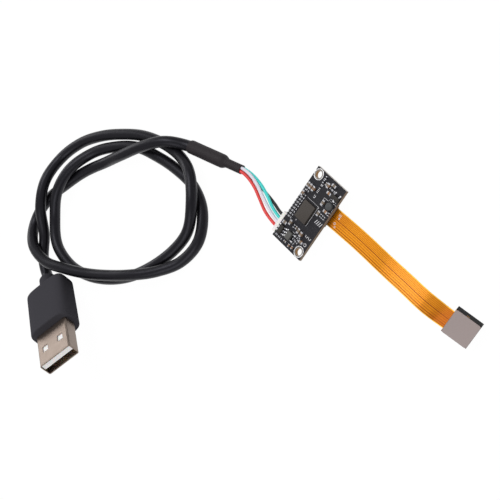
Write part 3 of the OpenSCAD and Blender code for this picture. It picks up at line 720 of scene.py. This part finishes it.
def packageMesh(name, node, edge, draft, corner=0.08):
    # a moulded block with bevelled top edges and slightly drafted sides, which meet 0.4 of the way up
    low, high = boxMm(node)
    half = (high - low)[:2] / 2
    middle = (low + high) / 2
    z0, z1 = low[2], high[2]
    split = z0 + (z1 - z0) * 0.4
    levels = [(draft + 0.04, z0), (draft, z0 + 0.04), (0, split - 0.02), (0, split + 0.02),
              (draft, z1 - edge), (draft + edge * 0.3, z1 - edge * 0.3), (draft + edge, z1)]
    rings = [(roundRect(*half, corner, inset), z) for inset, z in levels]
    return slabMesh(name, rings, besidePlace([middle[0], middle[1], 0]))


# transfer-moulded epoxy: matt, warm grey-brown on the main chip, cooler on the small packages
chipEpoxy = speckled("mouldedChipEpoxy", "#3f3832", "#38312c", 0.18, 0.62, 0.06, 0.12)
packageEpoxy = speckled("mouldedPackageEpoxy", "#5c5b57", "#4c4b48", 0.18, 0.55, 0.06, 0.3)
blackEpoxy = speckled("blackPackageEpoxy", "#26201a", "#1a1612", 0.18, 0.6, 0.06, 0.3)
for name, node, edge, draft, epoxy, slotName in (
        ("mainChip", "main_chip", 0.06, 0.0, chipEpoxy, "chip"),
        ("regulatorBody", "regulator", 0.08, 0.07, packageEpoxy, "dark_part"),
        ("lineGuardBody", "line_guard", 0.08, 0.07, blackEpoxy, "dark_part"),
        ("transistorBody", "transistor", 0.08, 0.07, blackEpoxy, "dark_part")):
    addPiece(name, packageMesh(name, node, edge, draft), epoxy, slotName, node)

ferrite = speckled("sinteredFerrite", "#4a4c4e", "#3b3d3f", 0.12, 0.6, 0.08, 0.5)


def coilMesh():
    # eight-sided ferrite block with a soft top edge
    low, high = boxMm("power_coil")
    middle = (low + high) / 2
    reach = (high - low)[0] / 2 / math.cos(math.pi / 8)
    a = np.radians(22.5 + 45 * np.arange(8))
    around = np.stack([np.cos(a), np.sin(a)], 1)
    levels = [(0.05, low[2]), (0, low[2] + 0.06), (0, high[2] - 0.14), (0.05, high[2] - 0.05),
              (0.16, high[2])]
    rings = [((reach - inset) * around, z) for inset, z in levels]
    return slabMesh("coilBody", rings, besidePlace([middle[0], middle[1], 0]))


addPiece("coilBody", coilMesh(), ferrite, "dark_part", "power_coil")


def islandBoxes(node, passes=40):
    # lowest and highest corner of every separate solid of a CAD node
    mesh = nodes[node].data
    points = np.empty(len(mesh.vertices) * 3)
    mesh.vertices.foreach_get("co", points)
    points = points.reshape(-1, 3) / mm
    spots, label = np.unique(np.round(points, 3), axis=0, return_inverse=True)
    label = label.reshape(-1)
    edges = np.empty(len(mesh.edges) * 2, int)
    mesh.edges.foreach_get("vertices", edges)
    a, b = label[edges.reshape(-1, 2)].T
    group = np.arange(len(spots))
    for _ in range(passes):
        least = np.minimum(group[a], group[b])
        np.minimum.at(group, a, least)
        np.minimum.at(group, b, least)
    return np.array([[spots[group == n].min(0), spots[group == n].max(0)] for n in np.unique(group)])


def solderMesh(name, boxes, cut, heights, scale, grow, lift=0.0):
    # in each box a closed stack of eight-sided outlines at shares of its height; each is the half size
    # times scale plus grow
    low, high = boxes[:, 0], boxes[:, 1]
    half, middle = (high - low)[:, None, None, :2] / 2, (high + low)[:, None, None, :2] / 2
    corner = np.array([(1, -cut), (1, cut), (cut, 1), (-cut, 1),
                       (-1, cut), (-1, -cut), (-cut, -1), (cut, -1)])
    ring = middle + corner * (half * scale[:, None, None] + grow[:, None, None])
    z = low[:, 2, None, None] + lift + heights[None, :, None] * (high - low)[:, 2, None, None]
    points = np.concatenate([ring, np.broadcast_to(z[..., None], ring.shape[:3] + (1,))], 3)
    count, levels, sides = points.shape[:3]
    i, j = np.meshgrid(np.arange(levels - 1), np.arange(sides), indexing="ij")
    j2 = (j + 1) % sides
    quad = np.stack([i * sides + j, i * sides + j2, (i + 1) * sides + j2, (i + 1) * sides + j], -1)
    shift = np.arange(count) * levels * sides
    quads = (shift[:, None, None] + quad.reshape(1, -1, 4)).reshape(-1, 4).tolist()
    below = (shift[:, None] + np.arange(sides)[::-1]).tolist()
    above = (shift[:, None] + (levels - 1) * sides + np.arange(sides)).tolist()
    mesh = bpy.data.meshes.new(name)
    mesh.from_pydata((points.reshape(-1, 3) * mm).tolist(), [], quads + below + above)
    return shadeSoft(mesh, 60)


def leadTips(package, leads, half=0.24):
    # boxes at the outer end of each lead of a package
    low, high = boxMm(package)
    boxes = islandBoxes(leads)
    centre = boxes.mean(1)
    away = centre[:, :2] - ((low + high) / 2)[:2]
    along = (np.abs(away[:, :1]) - (high - low)[0] / 2 > np.abs(away[:, 1:]) - (high - low)[1] / 2)
    way = np.where(along, np.sign(away[:, :1]) * [1, 0], np.sign(away[:, 1:]) * [0, 1])
    tip = centre[:, :2] + way * half
    foot = boxes[:, 0, 2]
    return np.stack([np.column_stack([tip - half, foot]), np.column_stack([tip + half, foot + half])], 1)


# solder that creeps up the ends of the chip parts: the outline grows by 0.07 (1 - h / 0.7)^2 towards
# the board
endBoxes = np.concatenate([islandBoxes("capacitor_ends"), islandBoxes("resistor_ends")])
climb = np.array([0, 0.12, 0.3, 0.5, 0.7])
fillets = solderMesh("solderFillets", endBoxes, 0.7, climb, np.ones(5), 0.07 * (1 - climb / 0.7) ** 2, 0.005)
addPiece("solderFillets", fillets, tin, "tin")
# a low mound on each lead's tip: the outline draws in as it rises
# painted highlight: a pure white copy of the reflowed tin, brighter than the tin on the chip ends, standing
# in for glints on the lead tips and hole beads
paintedHighlightSolder = speckled("paintedHighlightSolder", "#ffffff", "#e2e2e6", 0.5, 0.42, 0.05, 0.05, Metallic=1.0)
packages = ("regulator", "line_guard", "transistor")
tips = np.concatenate([leadTips(package, package + "_leads") for package in packages])
mounds = solderMesh("leadSolder", tips, 0.6, np.array([0, 0.2, 0.55, 0.85, 1]),
                    np.array([1.2, 1.12, 0.98, 0.75, 0.4]), np.zeros(5))
addPiece("leadSolder", mounds, paintedHighlightSolder, "tin")

# a raised bead of solder round each mounting hole, in the same painted-highlight white copy of the tin
bead = dict(outer=1.69, inner=1.46, low=0.05, high=0.12, inset=1.75)


def beadMesh(side):
    # half an ellipse turned about the hole
    spot = np.array([side * ((boardHigh - boardLow)[0] / 2 - bead["inset"]),
                     -side * ((boardHigh - boardLow)[1] / 2 - bead["inset"]), 0])
    r0, r1, z0, z1 = bead["inner"], bead["outer"], bead["low"], bead["high"]
    e = np.linspace(0, math.pi, 9)
    profile = np.stack([(r0 + r1) / 2 + (r1 - r0) / 2 * np.cos(e), z0 + (z1 - z0) * np.sin(e)], 1)
    return turnedMesh("holeBead", profile, lambda p: onBoard(p + spot))


for side, name in ((-1, "innerHoleBead"), (1, "outerHoleBead")):
    addPiece(name, beadMesh(side), paintedHighlightSolder, "tin")

# printed outlines and ticks, all generic: round the chip, then over the board from its middle
chipLow, chipHigh = boxMm("main_chip")
left, right = chipLow[0] - boardMid[0], chipHigh[0] - boardMid[0]
near, far = chipLow[1], chipHigh[1]
marks = [(left - 0.2, far + 0.7, right + 0.3, far + 0.7, 0.08),
         (right + 0.3, far + 0.7, right + 0.3, near - 0.2, 0.11),
         (right + 0.3, far + 0.7, right + 0.6, far + 0.4, 0.11)]
marks += [(x - 0.2, -0.9, x + 0.22, 0.35, 0.2) for x in (3.5, 4.2, 4.9, 5.6)]
marks += [(x, -5.15, x + 0.32, -5.8, 0.2) for x in (3.35, 4.6)]
marks += [(x, -5.8, x + 0.3, -5.15, 0.2) for x in (4.0, 5.25)]
marks += [(1.4, 6.4, 3.1, 6.4, 0.11), (1.4, 4.1, 1.4, 6.4, 0.11), (1.4, 4.1, 2.4, 4.1, 0.11)]
marks += [(x, 7.35, x + 0.35, 7.35, 0.12) for x in (3.4, 4.05, 4.7, 5.35)]
marks += [(x, 6.8, x + 0.35, 6.8, 0.12) for x in (3.2, 3.85, 5.1, 5.75)]
marks += [(-1.95, y, -1.35, y, 0.17) for y in (7.4, 6.95, 6.5, 6.05)]
marks += [(x, 8.2, x, 8.75, 0.24) for x in (-1.85, -1.4)]
marks += [(-1.8, 4.3, -1.35, 4.3, 0.18), (-1.35, 4.3, -1.35, 5.1, 0.16), (-1.8, 4.75, -1.8, 5.1, 0.16)]
marks += [(-0.9, -7.15, 0.1, -7.15, 0.1), (-5.9, -7.3, -5.2, -7.3, 0.1), (6.0, 4.6, 6.0, 5.6, 0.1)]
marks += ringStrokes(4.95, -7.6, 0.42, 0.2, 18) + ringStrokes(-2.35, -3.95, 0.12, 0.16, 8)
addPiece("boardPrint", strokeMesh("boardPrint", marks, 0.02, onBoard), ink, "white_plastic")
print("board dressed")

# moulded nylon: milky white, faintly translucent at its edges
nylon = speckled("whiteNylon", "#fbf8f7", "#f3efee", 0.8, 0.45, 0.05, 0.1, Subsurface_Weight=0.1,
                 Subsurface_Scale=0.0008)
dress(nylon, "wire_header", "wire_housing", "plug_insulator")
# flash gold over phosphor bronze
gold = speckled("flashGold", "#e2bd6e", "#c79c4c", 0.4, 0.28, 0.06, 0.1, Metallic=1.0)
dress(gold, "header_pins", "crimp_contacts", "socket_contacts", "plug_contacts")
# glass-filled LCP: dense matt black
dress(speckled("blackLcp", "#232325", "#18181a", 0.15, 0.55, 0.06, 0.3), "strip_socket", "strip_plug")
# bare polyimide sheet: darker and duller than the strip
stiffenerFilm = speckled("stiffenerFilm", "#c98a34", "#b4761f", 1.5, 0.45, 0.05, 0.1)
dress(stiffenerFilm, "strip_stiffener", "head_flex")
print("connectors dressed")

# rolled stainless sheet: neutral warm grey, very fine rolling grain
plateSteel = speckled("rolledStainless", "#938886", "#877c7a", 0.3, 0.45, 0.05, 0.1, Metallic=1.0)


def tabRings(halfX, halfY, corner, edge, insets, low, high):
    # a thin slab from low to high whose rims are drawn in over an edge; insets are (rim, body)
    rim, body = (roundRect(halfX, halfY, corner, inset) for inset in insets)
    return [(rim, low), (body, low + edge), (body, high - edge), (rim, high)]


plateRings = tabRings(headSize["x"] / 2, headSize["y"] / 2, 0.65, 0.03, (0.08, 0.05), -headSize["plate"], 0)
addPiece("backPlate", slabMesh("backPlate", plateRings, onHead), plateSteel, "steel", "head_plate")
# moulded polycarbonate: dull black on the holder, a little glossier on the barrel
holderPlastic = speckled("blackHolderPlastic", "#141416", "#0e0e10", 0.3, 0.6, 0.06, 0.4,
                         Specular_IOR_Level=0.15)
dress(holderPlastic, "lens_holder")
barrelPlastic = speckled("blackBarrelPlastic", "#1b1b1d", "#121213", 0.3, 0.42, 0.06, 0.3)

# the head's flex shows as a short amber edge in the holder's +Y side
tabSpot = np.array([-0.4, headSize["y"] / 2 - 0.15, 0])
flexTabRings = tabRings(0.55, 0.17, 0.1, 0.04, (0.03, 0), -0.62, -0.4)
addPiece("flexTab", slabMesh("flexTab", flexTabRings, lambda p: onHead(p + tabSpot)), stiffenerFilm, "strip")

# the barrel's outline in (radius, height): up its bore, round its front rim and back along its grooves
barrel = dict(radius=2.8, groove=0.14, front=-4.8, back=-1.65, bore=1.9, stop=1.4)
rim, dip = barrel["radius"], barrel["radius"] - barrel["groove"]
bore, stop, front, back = (barrel[k] for k in ("bore", "stop", "front", "back"))
barrelProfile = [(bore, back), (bore, -3.9), (stop, -3.9), (stop, -4.45), (1.0, -4.45), (1.95, front + 0.02),
                 (2.15, front), (2.62, front), (2.75, -4.72), (rim, -4.6), (rim, -4.35), (dip, -4.3),
                 (dip, -4.15), (rim, -4.1), (rim, -3.9), (dip, -3.85), (dip, -3.7), (rim, -3.65), (rim, -1.7),
                 (2.75, back)]
barrelMesh = turnedMesh("lensBarrel", barrelProfile, onHead)
addPiece("lensBarrel", barrelMesh, barrelPlastic, "black_plastic", "lens_barrel")


def lensMesh(name, radius, low, high, bulgeLow, bulgeHigh):
    # a round lens whose faces bow by bulge (1 - (r / R)^2)
    r = np.linspace(0.02, 1, 10)
    profile = np.concatenate([np.stack([r * radius, low - bulgeLow * (1 - r * r)], 1),
                              np.stack([r[::-1] * radius, high + bulgeHigh * (1 - r[::-1] ** 2)], 1)])
    return turnedMesh(name, profile, onHead, 40)


# coated optical glass, and a dyed infrared filter
glass = newMaterial("coatedGlass", Base_Color=linearColour("#dfe6f4"), Roughness=0.03, IOR=1.52,
                    Transmission_Weight=0.9, Coat_Weight=0.6, Coat_Roughness=0.02)[0]
filterGlass = newMaterial("infraredFilter", Base_Color=linearColour("#a8d4d8"), Roughness=0.05, IOR=1.5,
                          Transmission_Weight=0.8)[0]
addPiece("frontLens", lensMesh("frontLens", 1.38, -4.4, -4.02, 0.3, 0.0), glass, "lens", "front_lens")
addPiece("innerLens", lensMesh("innerLens", 1.86, -3.3, -2.9, 0.18, 0.18), glass, "lens", "inner_lens")
dress(filterGlass, "infrared_filter")
# polished silicon under its microlenses: dark blue
dress(speckled("sensorSilicon", "#2a3348", "#1c2436", 0.4, 0.25, 0.05, 0.05), "image_sensor")
print("head made")


def seenBy(tree, *rays):
    # 1 for a ray of either kind
    path = addNode(tree, "ShaderNodeLightPath").outputs
    return mathOf(tree, "MAXIMUM", *(path[ray] for ray in rays))


def makeFloor(reach=3.0, drop=0.02):
    # pale floor, a hair under the feet so that no face of the part lies in its plane; white where it is seen
    mesh = bpy.data.meshes.new("floor")
    z = -drop * mm
    corners = [(-reach, -reach, z), (reach, -reach, z), (reach, reach, z), (-reach, reach, z)]
    mesh.from_pydata(corners, [], [(0, 1, 2, 3)])
    floor = bpy.data.objects.new("floor", mesh)
    bpy.context.scene.collection.objects.link(floor)
    material, tree, shader = newMaterial("paleFloor", Base_Color=linearColour("#f4f4f4"), Roughness=0.9)
    share = mathOf(tree, "MULTIPLY", seenBy(tree, "Is Camera Ray", "Is Glossy Ray"), 0.96)
    glow = addNode(tree, "ShaderNodeEmission", {"Color": (1, 1, 1, 1), "Strength": 1.02})
    mix = addNode(tree, "ShaderNodeMixShader", {}, {0: share, 1: shader.outputs[0], 2: glow.outputs[0]})
    tree.links.new(mix.outputs[0], tree.nodes["Material Output"].inputs["Surface"])
    mesh.materials.append(material)


def makeWorld():
    # white where seen, and half as strong as light
    world = bpy.data.worlds.new("studio")
    bpy.context.scene.world = world
    world.use_nodes = True
    tree = world.node_tree
    backdrop = tree.nodes["Background"]
    backdrop.inputs["Color"].default_value = (1, 1, 1, 1)
    seen = seenBy(tree, "Is Camera Ray", "Is Transmission Ray")
    tree.links.new(mathOf(tree, "MULTIPLY_ADD", seen, 0.5, 0.5), backdrop.inputs["Strength"])


def addLamp(name, place, size, power):
    # a round soft lamp aimed at the middle of the object
    lamp = bpy.data.lights.new(name, "AREA")
    lamp.shape = "DISK"
    lamp.size = size
    lamp.energy = power
    holder = bpy.data.objects.new(name, lamp)
    holder.location = place
    holder.rotation_euler = (Vector(place) - Vector((-0.04, -0.03, 0))).to_track_quat("Z", "Y").to_euler()
    bpy.context.scene.collection.objects.link(holder)


makeFloor()
makeWorld()
addLamp("keyLamp", (-0.35, 0.15, 0.75), 0.5, 2.4)
addLamp("sideLamp", (-0.95, -0.2, 0.3), 0.5, 1.3)
addLamp("fillLamp", (0.4, -0.5, 0.6), 0.6, 1.7)
print("floor, world and lamps set")

bpy.context.scene.view_settings.view_transform = "Standard"
